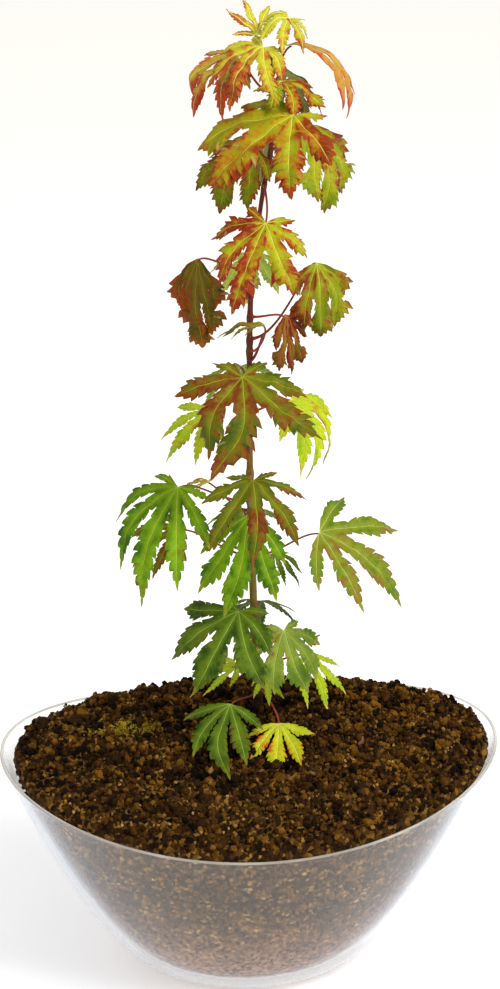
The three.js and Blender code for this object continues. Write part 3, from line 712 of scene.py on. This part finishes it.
def lobe_edge(leaf, lobes, i, side, rng, rows):
    """The edge of a lobe on one side, and how far from the rib it counts as being."""
    lobe, free = lobes[i], rows.free
    outermost = not 0 <= i + side < len(lobes)
    if outermost:
        apart = math.radians(SHOULDER_ANGLE)
        angle = lobe.angle + side * apart
        parting = SHOULDER * leaf.size
    else:
        beside = lobes[i + side]
        angle = (lobe.angle + beside.angle) / 2
        parting = leaf.cut * math.sqrt(lobe.length * beside.length)
        apart = abs(beside.angle - lobe.angle) / 2
    ray = np.minimum(rows.shares / leaf.cut, 1) * parting
    joined_edge = ray[:, None] * round_ways(angle)
    half = np.interp(free, *zip(*LOBE_OUTLINE)) * leaf.slim * LOBE_WIDTH * lobe.length
    if not outermost:
        half = np.minimum(half, room_beside(lobe, beside, rows.shares * lobe.length))
    worn = np.interp(free, np.linspace(0, 1, 9), 1 - rng.uniform(-0.25, 1, 9) * leaf.ragged)
    toothed = half * worn * (1 + TOOTH_DEPTH * rows.tooth_out * smooth(0.0, 0.12, free))
    leaning = np.maximum(rows.tooth_out, 0) * (TOOTH_LEAN * half)
    leaning = leaning * smooth(0, 0.1, free) * smooth(1, 0.9, free)
    margin = rows.centres + rows.lefts * (side * toothed)[:, None] + rows.forwards * leaning[:, None]
    share = smooth(0, 0.35 if outermost else 0.15, free)[:, None]
    edge = joined_edge * (1 - share) + margin * share
    counted = ray * math.sin(apart) * (1 - share[:, 0]) + half * share[:, 0]
    return edge, counted


def lobe_sheet(leaf, lobes, i, rng):
    """One lobe with its part of the palm: its bent points, its faces, and the finish's three maps."""
    lobe = lobes[i]
    one = leaf.teeth
    teeth = max(4, round(TEETH * (lobe.length / leaf.size) ** 0.7))
    joined_rows = np.zeros(JOINED_ROWS)
    free = np.array([(tooth + phase) / teeth for tooth in range(teeth) for phase, _ in one] + [1])
    jitter = np.repeat(rng.uniform(0.6, 1.4, teeth), len(one))
    tooth_out = np.concatenate([joined_rows, np.tile([out for _, out in one], teeth) * jitter, [0]])
    joined_shares = np.linspace(0, leaf.cut, JOINED_ROWS, endpoint=False)
    shares = np.concatenate([joined_shares, leaf.cut + (1 - leaf.cut) * free])
    free = np.concatenate([joined_rows, free])
    r = shares * lobe.length
    forwards = round_ways(rib_angle(lobe, r))
    lefts = np.stack([-forwards[:, 1], forwards[:, 0]], -1)
    centres = forwards * r[:, None]
    rows = SimpleNamespace(
        shares=shares, free=free, tooth_out=tooth_out, forwards=forwards, lefts=lefts, centres=centres
    )
    twist = rng.uniform(-1, 1) * leaf.twist
    hangs, swept = leaf.bends[i]
    hook = (rng.uniform(0.2, 1) * leaf.hook + hangs) * smooth(0.1, 1, free)

    flat = np.repeat(centres[:, None], COLUMNS, 1)
    rise, offset = np.zeros((2, len(r), COLUMNS))
    for side in (-1, 1):
        edge, counted = lobe_edge(leaf, lobes, i, side, rng, rows)
        for column in np.nonzero(np.sign(ACROSS) == side)[0]:
            out = abs(ACROSS[column])
            flat[:, column] = centres + (edge - centres) * out
            offset[:, column] = np.linalg.norm(flat[:, column] - centres, axis=-1)
            turned = side * twist * smooth(0.1, 1, free) - leaf.curl * out**2 * smooth(0, 0.5, free)
            rise[:, column] = counted * out * (FOLD * (1.3 - 0.5 * out) + turned)
    turn = (swept * smooth(0.3, 1, shares) ** 1.5)[:, None]
    x = flat[..., 0] * np.cos(turn) - flat[..., 1] * np.sin(turn)
    y = flat[..., 0] * np.sin(turn) + flat[..., 1] * np.cos(turn)
    place = np.stack([x, y, np.zeros_like(x)], -1)
    rise += ripples(leaf.seed, 11)(place) * leaf.crinkle + ripples(leaf.seed + 50, 5)(place) * 0.14
    points = bent(leaf, x, y, rise, hook[:, None])
    faces = [(a, d, c, b) for a, b, c, d in grid_faces(len(r), COLUMNS)]

    def mapped(first, second):
        return np.stack(np.broadcast_arrays(first, second, rise)[:2], -1).reshape(-1, 2)

    ribs = mapped(offset, r[:, None]) * MM
    edges = mapped(np.abs(ACROSS), shares[:, None])
    ages = mapped((leaf.ages[i] * smooth(0, leaf.cut, shares))[:, None], 0.0)
    return points.reshape(-1, 3), faces, ribs, edges, ages


def blade(leaf, finishes):
    lobes = lobes_of(leaf)
    rng = np.random.default_rng(leaf.seed)
    sheets = [lobe_sheet(leaf, lobes, i, rng) for i in range(len(lobes))]
    points, faces = joined([sheet[:2] for sheet in sheets])
    made = piece("leaf_" + leaf.name + "_blade", points, faces, finishes)
    mesh = made.data
    corners = np.zeros(len(mesh.loops), int)
    mesh.loops.foreach_get("vertex_index", corners)
    for column, name in enumerate(("ribs", "edges", "ages"), 2):
        values = np.vstack([sheet[column] for sheet in sheets])
        mesh.uv_layers.new(name=name).data.foreach_set("uv", values[corners].ravel())
    select_only(made)
    bpy.ops.object.mode_set(mode="EDIT")
    bpy.ops.mesh.select_all(action="SELECT")
    bpy.ops.mesh.remove_doubles(threshold=MERGED * MM)
    bpy.ops.object.mode_set(mode="OBJECT")
    thick = made.modifiers.new("thickness", "SOLIDIFY")
    thick.thickness = SHEET * MM
    thick.offset = 0
    thick.material_offset = 1
    thick.material_offset_rim = 1
    bpy.ops.object.modifier_apply(modifier=thick.name)
    bpy.ops.object.shade_smooth_by_angle(angle=math.radians(BLADE_EDGE_ANGLE))
    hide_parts("leaf_" + leaf.name)


def stalk(leaf):
    """A stalk from inside the stem to under its blade, on the source's way."""
    out = leaf.out
    start = stem_at(leaf.foot) + out * stem_radius(leaf.foot) * 0.6
    end = bent(leaf, STALK_SUNK, 0, -SHEET)
    back = unit(bent(leaf, 0, 0, 0) - bent(leaf, 1, 0, 0))
    span = np.linalg.norm(end - start)
    leaving, arriving = start + out * STALK_LEAVING * span, end + back * STALK_ARRIVING * span
    shares = np.linspace(0, 1, STALK_ROWS)
    radii = STALK_RADIUS + (STALK_TIP_RADIUS - STALK_RADIUS) * shares
    radii = radii + STALK_SWELL * np.exp(-shares * STALK_SWELL_FADES)
    radii[-3:] *= (0.9, 0.7, 0.3)
    return tube(bezier(start, leaving, arriving, end, STALK_ROWS), radii, STALK_SIDES)


def leaves():
    finishes = {tint: [leaf_finish(tint, under) for under in (False, True)] for tint in TINTS}
    for seed, leaf in enumerate(LEAVES, 1):
        leaf.out = level_way(leaf.turn)
        leaf.seed = seed
        broader, further = leaf.grown
        leaf.cut = leaf.parted * CUT * further
        leaf.slim = leaf.broad * SLIM * broader
        vars(leaf).update(zip(AGED, AGEING[leaf.look]))
        own_ages = np.random.default_rng(seed + 400).uniform(*OWN_AGES, leaf.lobes)
        sweeps = np.random.default_rng(seed + 500).uniform(-OWN_SWEEP, OWN_SWEEP, leaf.lobes)
        leaf.bends = LOBE_BENDS.get(leaf.name, [(0, sweep) for sweep in sweeps])
        leaf.ages = LOBE_AGES.get(leaf.name, own_ages)
        leaf.hub_point = stem_at(leaf.foot) + leaf.out * leaf.reach
        leaf.hub_point[2] = leaf.hub
        blade(leaf, finishes[leaf.look])
    points, faces = joined([stalk(leaf) for leaf in LEAVES])
    piece("stalks", points, faces, [stalk_finish("stalk", "94402a", "8a2c1c")])


# ---- The compost ----
AROUND = 240
SOIL_INSET = BOWL_WALL + GAP + 1.7
RIM_WALL = 1.7  # the wall is thinner at the rim than low down
RIGHT_GAP = 0.7
WALL_RINGS = 46
HEAP_RINGS = 80
CRUMB_COVER = 0.8  # how deep the compost's body lies under its crumbs
WALL_UNEVEN = 0.006
HOLES = [  # right, back, width, depth
    (14, -30, 4.5, 9), (FOOT[0] - 11, FOOT[1] - 8, 7, 10), (-44, 8, 4, 4), (62, 30, 5, 4), (-30, -34, 4, 4),
]
LUMPS = ((17, 2.3), (8, 2.6), (4, 1.2))  # spacing and height of the heap's lumps


def rim_height(angles):
    return BOWL_HEIGHT + RIM_RISE * np.cos(angles) ** 2


def on_wall(angles, share, inset, floor):
    """Places round the bowl: share of the way up its wall, and inset from its outside."""
    wide = BASE_SHARE + (1 - BASE_SHARE) * share
    x = (BOWL_LENGTH / 2 * wide - inset) * np.cos(angles)
    y = (BOWL_DEPTH / 2 * wide - inset) * np.sin(angles)
    z = floor + (rim_height(angles) - floor) * share**WALL_CURVE
    return np.stack([x, y, z], -1)


def wall_thickness(share):
    return BOWL_WALL + (RIM_WALL - BOWL_WALL) * share**2


def inside_holes(x, y):
    """For each hole, how far inside it each place is (1 in its middle, 0 well outside), and its depth."""
    found = []
    for right, back, wide, deep in HOLES:
        found.append((np.exp(-((np.hypot(x - right, y - back) / wide) ** 4)), deep))
    return found


def heap_height(x, y, edge, share):
    """The heap between its edge and its top, less the hollow at the foot and the holes."""
    heap = edge + (SOIL_TOP - edge) * (1 - share**2) ** HEAP_ROUND
    away = np.hypot(x - FOOT[0], y - FOOT[1]) / HOLLOW_RADIUS
    heap = heap - HOLLOW_DEPTH * np.exp(-away * away)
    for inside, deep in inside_holes(x, y):
        heap = heap - deep * inside
    return heap


def on_heap(edge, share):
    """Places on the heap, share of the way out from the stem's foot to its edge."""
    x = FOOT[0] + (edge[:, 0] - FOOT[0]) * share
    y = FOOT[1] + (edge[:, 1] - FOOT[1]) * share
    return np.stack([x, y, heap_height(x, y, edge[:, 2], share)], -1)


def lumpy(points):
    return sum(np.abs(ripples(70 + i, spacing)(points)) * high for i, (spacing, high) in enumerate(LUMPS))


def soil_inset(angles, share):
    """How far in from the bowl's outside the compost ends: close to the wall on the right, near the rim."""
    near = smooth(0.3, 0.95, np.cos(angles)) * share**2
    return SOIL_INSET + (wall_thickness(share) + RIGHT_GAP - SOIL_INSET) * near


def compost_body():
    around = turns(AROUND)
    rings = []
    for share in np.linspace(0, SOIL_SHARE, WALL_RINGS):
        rings.append(on_wall(around, share, soil_inset(around, share), BOWL_FLOOR + GAP))
    for ring in rings:
        ring[:, :2] *= 1 - WALL_UNEVEN * np.abs(ripples(90, 5)(ring))[:, None]
    edge = rings[-1]
    for share in np.linspace(1, 0, HEAP_RINGS, endpoint=False)[1:]:
        ring = on_heap(edge, share)
        ring[:, 2] += lumpy(ring) * smooth(0, 0.1, share) - CRUMB_COVER
        rings.append(ring)
    points, faces = closed_stack(rings, rings[0].mean(0), rings[-1].mean(0))
    made = piece("compost", points, faces, [compost_finish(), pressed_finish()])
    for face in made.data.polygons[: (WALL_RINGS - 1) * AROUND]:
        face.material_index = 1
    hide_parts("soil")


CRUMB_SCALE = 420
PRESSED_SCALE = 430


def compost_finish():
    """Loose dark compost: fine crumbs of several browns."""
    made = Finish("compost_body")
    grains = made.cell_tones(CRUMB_SCALE)
    shadow = made.cells(CRUMB_SCALE, "Distance")
    fine = made.noise(500, 4)
    colour = made.ramp(grains, {0.0: "160c04", 0.4: "301c08", 0.7: "4c320e", 0.9: "6c4c1a", 1.0: "8e6a32"})
    colour = made.mix((fine - 0.4).between(0, 0.4) * 0.5, colour, "180c04")
    made.set(Base_Color=colour, Roughness=0.8 + fine * 0.2, Specular_IOR_Level=0.08)
    made.bump(shadow.between(0, 0.9, 1, 0) + fine * 0.4, 1.2, 0.9)
    return made


def dryness(made):
    """How dry the compost is from place to place, about a half on average."""
    return made.noise(75, 2) * 0.6 + made.noise(230, 2) * 0.4


def faded_low_down(made, colour):
    """Paler and redder towards the bowl's base, in patches."""
    patches = made.mix(made.noise(330, 3).between(0.36, 0.64), "5c3628", "dcae8c")
    return made.mix(made.axis("Z").between(0.0, 0.08, 0.55, 0), colour, patches)


def pressed_finish():
    """The compost against the wall: crumbs packed side by side with painted shade in the cracks between them,
    redder near the base.
    """
    made = Finish("compost_pressed")
    pushed = made.pushed(500, 0.0015)
    grains = made.cell_tones(PRESSED_SCALE, pushed)
    painted_gap_shade = made.cells(PRESSED_SCALE, "Distance", pushed)
    tone = grains + (made.noise(500, 3) - 0.5) * 0.5 + (made.noise(60, 4) - 0.5) * 0.9
    colour = made.ramp(tone, {0.0: "1a1008", 0.3: "38240f", 0.6: "6a4824", 0.85: "94703c", 1.0: "b8965c"})
    # Painted shade: darker where the cells meet, in the cracks between the packed crumbs.
    colour = made.mix(painted_gap_shade.between(0.35, 0.8) * 0.75, colour, "120a05")
    colour = made.mix(dryness(made).between(0.4, 0.6, 0.6, 0), colour, "120a05")
    made.set(Base_Color=faded_low_down(made, colour), Roughness=0.95, Specular_IOR_Level=0.05)
    return made


# Crumbs: colour, and the share of all that have it. Those in the mossy patch are chosen by place.
CRUMBS = {
    "black": ("120b04", 0.11), "dark": ("2a1906", 0.31), "brown": ("4a2d0a", 0.31), "warm": ("6c4810", 0.2),
    "tan": ("8a642a", 0.055), "straw": ("9c7c44", 0.015), "mossy": ("8e7010", 0.0),
}
BLACK, DARK, BROWN, WARM, TAN, STRAW, MOSSY = range(len(CRUMBS))
DAMP, DRY = 0.42, 1.2  # shares of a crumb's colour where it is damp and where it is dry
WALL_LIGHTER = 0.2  # crumbs against the wall look dustier
HEAP_CRUMBS = 9000
HEAP_COVERED = 0.965  # share of the heap's area that has loose crumbs, from the foot outwards
WALL_CRUMBS = 6000
CLODS = 420  # lumps of crumbs that stick together
IN_CLOD = 17
CLODS_INWARDS = 0.955
STRAYS = 0.25  # crumbs of a clod that are of another kind
# Radii: the middle and the spread of their logarithms, the least and the most.
HEAP_RADII = (-0.05, 0.42, 0.45, 2.2)
WALL_RADII = (0.0, 0.4, 0.5, 2.4)
CLOD_RADII = (1.0, 0.4, 1.4, 5)
LARGEST_STRAW, LARGEST_TAN = 1.1, 1.5
# Crumbs deep in a hole are made black: painted shade in the hollow.
HOLE_PAINTED_SHADE = 0.45  # how far inside a hole the crumbs are black
KNOWN_CLODS = [  # right, back, up, radius
    (-96, 17, 107, 3.4), (-60, 46, 106, 4.6), (-50, 50, 107, 4.2), (-71, 42, 105, 3.8),
]
WALL_SPACE = BOWL_WALL + GAP + 0.4  # from the bowl's outside to the nearest side of a crumb


def crumb_finish(name, code):
    made = Finish("crumb_" + name)
    fine = made.noise(900, 4)
    dry_here = (dryness(made) + (fine - 0.5) * 0.35).between(0.38, 0.62)
    colour = faded_low_down(made, made.mix(dry_here, shade(code, DAMP), shade(code, DRY)))
    made.set(Base_Color=colour, Roughness=0.8 + fine * 0.2, Specular_IOR_Level=0.08)
    made.bump(fine, 0.7)
    return made


def unit_crumb():
    """The points and faces of a ball with twenty faces."""
    ball = bmesh.new()
    bmesh.ops.create_icosphere(ball, subdivisions=1, radius=1)
    ball.verts.ensure_lookup_table()
    points = np.array([v.co[:] for v in ball.verts])
    faces = np.array([[v.index for v in face.verts] for face in ball.faces])
    ball.free()
    return points, faces


def turned_at_random(rng, count):
    """One random turn for each of many pieces."""
    first = unit(rng.normal(size=(count, 3)))
    second = unit(np.cross(first, unit(rng.normal(size=(count, 3)))))
    return np.stack([first, second, np.cross(first, second)], 1)


def drawn_radii(rng, shape, middle, spread, least, most):
    return np.clip(rng.lognormal(middle, spread, shape), least, most)


def crumbs_on_heap(rng, count):
    share = np.sqrt(rng.uniform(0.0, HEAP_COVERED, count))
    angles = rng.uniform(0, 2 * math.pi, count)
    places = on_heap(on_wall(angles, SOIL_SHARE, soil_inset(angles, SOIL_SHARE), BOWL_FLOOR), share)
    size = drawn_radii(rng, count, *HEAP_RADII)
    places[:, 2] += lumpy(places) - CRUMB_COVER + size * rng.uniform(-0.3, 0.7, count)
    return places, size


def crumbs_by_wall(rng, count):
    angles = rng.uniform(0, 2 * math.pi, count)
    share = (SOIL_SHARE - 0.02) * rng.uniform(0.02, 1, count) ** 0.7
    size = drawn_radii(rng, count, *WALL_RADII)
    # Low down the wall curves in under a crumb, so it stands further in and higher there.
    low = (1 - share) ** 2
    places = on_wall(angles, share, WALL_SPACE + size * (0.85 + 1.1 * low), BOWL_FLOOR + GAP)
    places[:, 2] += size * low
    return places, size


def clods_on_heap(rng):
    """The places of the crumbs of every clod, clod by clod."""
    middles, _ = crumbs_on_heap(rng, CLODS)
    middles[:, :2] = FOOT + (middles[:, :2] - FOOT) * CLODS_INWARDS
    middles[: len(KNOWN_CLODS)] = [clod[:3] for clod in KNOWN_CLODS]
    spread = drawn_radii(rng, (CLODS, 1, 1), *CLOD_RADII)
    spread[: len(KNOWN_CLODS), 0, 0] = [clod[3] for clod in KNOWN_CLODS]
    spread = spread * rng.uniform(0.7, 1.0, (CLODS, IN_CLOD, 1))
    around = unit(rng.normal(size=(CLODS, IN_CLOD, 3)) + (0, 0, 0.5))
    return (middles[:, None] + around * spread).reshape(-1, 3)


def crumb_kinds(rng, places, size, lighter):
    """Which of CRUMBS each crumb is: by chance, in patches, and by its size, clod, hole or moss."""
    shares = np.cumsum([share for _, share in CRUMBS.values()])
    patchy = ripples(31, 14)(places) * 0.34 + ripples(32, 6)(places) * 0.28
    drawn = np.clip(rng.uniform(0, 1, len(size)) * 0.9 + 0.05 + patchy + lighter, 0, 0.999) * shares[-1]
    kinds = np.searchsorted(shares, drawn, side="right")
    kinds = np.where((kinds == STRAW) & ((size > LARGEST_STRAW) | (lighter > 0)), TAN, kinds)
    kinds = np.where((kinds == TAN) & (size > LARGEST_TAN), WARM, kinds)
    in_clods = kinds[-CLODS * IN_CLOD :]
    mostly = np.repeat(in_clods[::IN_CLOD].clip(DARK, WARM), IN_CLOD)
    stray = rng.uniform(0, 1, len(mostly)) < STRAYS
    kinds[-len(mostly) :] = np.where(stray, in_clods, mostly)
    # Painted shade: crumbs far enough inside a hole are made black.
    holes = inside_holes(places[:, 0], places[:, 1])
    kinds[np.max([inside for inside, _ in holes], axis=0) > HOLE_PAINTED_SHADE] = BLACK
    mossed = (in_moss(places) < rng.uniform(0, 1, len(size))) & (places[:, 2] > MOSS_LOWEST)
    kinds[mossed] = MOSSY
    return kinds


def crumbs():
    rng = np.random.default_rng(11)
    ball, faces = unit_crumb()
    heap, heap_size = crumbs_on_heap(rng, HEAP_CRUMBS)
    wall, wall_size = crumbs_by_wall(rng, WALL_CRUMBS)
    places = np.vstack([heap, wall, clods_on_heap(rng)])
    size = np.concatenate([heap_size, wall_size, rng.uniform(0.9, 2.1, CLODS * IN_CLOD)])
    count = len(size)
    bumps = rng.uniform(0.72, 1.25, (count, len(ball), 1))
    stretch = rng.uniform(0.7, 1.3, (count, 1, 3))
    shapes = np.einsum("nij,nkj->nki", turned_at_random(rng, count), ball[None] * bumps * stretch)
    points = places[:, None] + shapes * size[:, None, None]
    lighter = np.repeat((0, WALL_LIGHTER, 0), (HEAP_CRUMBS, WALL_CRUMBS, CLODS * IN_CLOD))
    kinds = crumb_kinds(rng, places, size, lighter)
    for kind, (name, (code, _)) in enumerate(CRUMBS.items()):
        chosen = points[kinds == kind]
        starts = np.arange(len(chosen))[:, None, None] * len(ball)
        theirs = (faces[None] + starts).reshape(-1, 3).tolist()
        finish = crumb_finish(name, code)
        piece("crumbs_" + name, chosen.reshape(-1, 3), theirs, [finish], False)


MOSS_PLACE = (-67, 6)
MOSS_RADIUS = 8.5
MOSS_STRETCH = 2.7
MOSS_LOWEST = 0.8 * BOWL_HEIGHT
MOSS_TRIES = 110000  # places on the whole heap; only those in the patch keep a blade
MOSS_UP = 0.6
MOSS_BLADE = 0.35  # half its width


def in_moss(places):
    """How far out from the middle of the mossy patch each place is: 1 at its edge."""
    return np.hypot((places[:, 0] - MOSS_PLACE[0]) / MOSS_STRETCH, places[:, 1] - MOSS_PLACE[1]) / MOSS_RADIUS


def moss():
    """A patch of short moss and algae on the crumbs, as many small blades."""
    rng = np.random.default_rng(21)
    base, _ = crumbs_on_heap(rng, MOSS_TRIES)
    base = base[in_moss(base) < rng.uniform(0, 1, len(base))]
    count = len(base)
    base[:, 2] += MOSS_UP
    lean = unit(rng.normal(size=(count, 3)) * (1, 1, 0.5) + (0, 0, 0.8))
    wide = unit(np.cross(lean, rng.normal(size=(count, 3)))) * MOSS_BLADE
    length = rng.uniform(0.8, 2.0, count)[:, None]
    points = np.stack([base - wide, base + wide, base + lean * length], 1)
    made = Finish("moss")
    made.set(Base_Color=made.mix(made.noise(300, 2), "6e6410", "a8941c"), Roughness=0.8)
    faces = np.arange(count * 3).reshape(-1, 3).tolist()
    piece("moss", points.reshape(-1, 3), faces, [made])


# Scraps of fallen leaf: right, back, the way they lie, colour.
SCRAPS = [(80, 24, 20, "8e2c12"), (-24, -38, 75, "9a7a34"), (30, -44, 140, "8a6a2c"), (58, -20, 50, "7a3c14")]
SCRAP_HALF_LENGTH = 3.4
SCRAP_HALF_WIDTH = 1.3
SCRAP_UP = 2.6
SCRAP_ROWS, SCRAP_COLUMNS = 13, 5


def scraps():
    """Curled scraps of fallen leaf on the compost."""
    ways = np.linspace(-1, 1, SCRAP_ROWS), np.linspace(-1, 1, SCRAP_COLUMNS)
    along, across = np.meshgrid(*ways, indexing="ij")
    for number, (right, back, turn, code) in enumerate(SCRAPS):
        made = Finish("scrap_%d" % number)
        made.set(Base_Color=made.mix(made.noise(500, 3), code, "4a2a10"), Roughness=0.7)
        wide = SCRAP_HALF_WIDTH * (1 - along**2) * (1 + 0.3 * np.sin(along * 17 + number))
        a = math.radians(turn)
        x = right + SCRAP_HALF_LENGTH * along * math.cos(a) - across * wide * math.sin(a)
        y = back + SCRAP_HALF_LENGTH * along * math.sin(a) + across * wide * math.cos(a)
        share = math.hypot(right, back * BOWL_LENGTH / BOWL_DEPTH) / (BOWL_LENGTH / 2)
        base = heap_height(right, back, rim_height(math.atan2(back, right)) * SOIL_SHARE, min(1, share))
        z = base + SCRAP_UP + 0.8 * across**2 + 0.9 * along**2
        points = np.stack([x, y, z], -1).reshape(-1, 3)
        faces = grid_faces(SCRAP_ROWS, SCRAP_COLUMNS)
        piece("scrap_%d" % number, points, faces, [made])


# ---- The bowl ----
BOWL_RINGS = 60
LIP_STEPS = 7
BOWL_EDGE_ANGLE = 35


def bowl():
    around = turns(AROUND)
    shares = np.linspace(0, 1, BOWL_RINGS)
    outside = [on_wall(around, share, 0, 0) for share in shares]
    inside = [on_wall(around, share, wall_thickness(share), BOWL_FLOOR) for share in shares[::-1]]
    top, inner_top = outside.pop(), inside.pop(0)
    middle, across = (top + inner_top) / 2, (top - inner_top) / 2
    lip = []
    for step in range(LIP_STEPS + 1):
        a = math.pi * step / LIP_STEPS
        ring = middle + across * math.cos(a)
        ring[:, 2] += RIM_WALL / 2 * (math.sin(a) - 1)
        lip.append(ring)
    rings = outside + lip + inside
    points, faces = closed_stack(rings, rings[0].mean(0), rings[-1].mean(0))
    made = piece("clear_bowl", points, faces, [plastic_finish(), rim_finish()])
    first = len(outside) * AROUND
    for face in made.data.polygons[first : first + LIP_STEPS * AROUND]:
        face.material_index = 1
    select_only(made)
    bpy.ops.object.shade_smooth_by_angle(angle=math.radians(BOWL_EDGE_ANGLE))
    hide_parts("bowl")


def plastic_finish():
    """Clear polished plastic: a faint milky haze, thickened at both ends and where the wall is seen edge on
    by a painted reflection, bluish white there.
    """
    made = Finish("clear_plastic")
    scuffs = made.noise(90, 5)
    grazing = made.node("LayerWeight", {"Blend": 0.5}, "Facing")
    right = made.axis("X")
    # The terms for the bowl's ends and for a wall seen edge on are painted reflection; the even 0.05 is the
    # plastic's own haze.
    haze_and_painted_reflection = right * right * 3 + grazing**3 * 0.3 + grazing.between(0.62, 1.0, 0, 0.55)
    # Warm face on, bluish white edge on: the bluish white is painted reflection.
    made.set(Base_Color=made.mix(grazing.between(0.4, 0.8), "f4e8dc", "eaf0f8"), Specular_IOR_Level=0.6)
    made.set(Roughness=(scuffs - 0.5).between(0.0, 0.3, 0.04, 0.14), Alpha=haze_and_painted_reflection + 0.05)
    return made


def rim_finish():
    """The rim's rounded lip, painted pale grey-white: a painted highlight for the light it catches."""
    made = Finish("rim_painted_highlight")
    # Painted highlight: the pale grey-white base makes the clear rim read as a bright line.
    tone = made.mix(made.noise(35, 3).between(0.3, 0.7), "b9b2a6", "d6d2c8")
    made.set(Base_Color=tone, Roughness=made.noise(120, 3).between(0.4, 0.7, 0.08, 0.2))
    made.set(Transmission_Weight=0.5, IOR=1.3, Specular_IOR_Level=0.8)
    return made


# ---- Floor, light and camera ----
FLOOR_SIZE = 12
LAMP_AIM = Vector((0, 0, 0.25))


def aimed(made, aim):
    made.rotation_euler = (aim - made.location).to_track_quat("-Z", "Y").to_euler()


def lamp(name, place, size, power, colour):
    bpy.ops.object.light_add(type="AREA", location=place)
    made = bpy.context.object
    made.name = name
    made.data.size = size
    made.data.energy = power
    made.data.color = colour
    aimed(made, LAMP_AIM)


def studio():
    bpy.ops.mesh.primitive_plane_add(size=FLOOR_SIZE)
    floor = bpy.context.object
    floor.name = "floor"
    made = Finish("pale_floor")
    # Bluish white in front and cream behind: the cool front is painted shade near the bowl.
    made.set(Base_Color=made.mix(made.axis("Y").between(-0.1, 0.9), "eff2fa", "faf8f2"), Roughness=0.6)
    made.set(Emission_Color="fffdf8", Emission_Strength=0.32)
    floor.data.materials.append(made.material)

    world = bpy.data.worlds.new("soft_room")
    bpy.context.scene.world = world
    world.use_nodes = True
    light = world.node_tree.nodes["Background"].inputs
    light["Color"].default_value = (1.0, 0.99, 0.97, 1)
    light["Strength"].default_value = 0.66
    lamp("window", (0.9, -0.7, 1.5), 0.7, 26, (1.0, 0.97, 0.93))
    lamp("fill", (-1.2, -0.9, 0.9), 1.2, 5, (0.97, 0.98, 1.0))


CAMERA_AWAY = 0.9
CAMERA_TURN = 5.2  # degrees from straight in front, towards the left
CAMERA_HEIGHT = 0.7
CAMERA_AIM = Vector((0, 0, 0.283))
CAMERA_LENS = 70.6


def camera():
    turn = math.radians(CAMERA_TURN)
    place = (-CAMERA_AWAY * math.sin(turn), -CAMERA_AWAY * math.cos(turn), CAMERA_HEIGHT)
    bpy.ops.object.camera_add(location=place)
    made = bpy.context.object
    aimed(made, CAMERA_AIM)
    made.data.lens = CAMERA_LENS
    made.data.sensor_width = 36
    made.data.sensor_fit = "AUTO"
    made.data.clip_start = 0.01
    bpy.context.scene.camera = made


bpy.context.scene.view_settings.view_transform = "Standard"
camera()
studio()
bowl()
compost_body()
crumbs()
moss()
scraps()
stem()
twigs()
leaves()
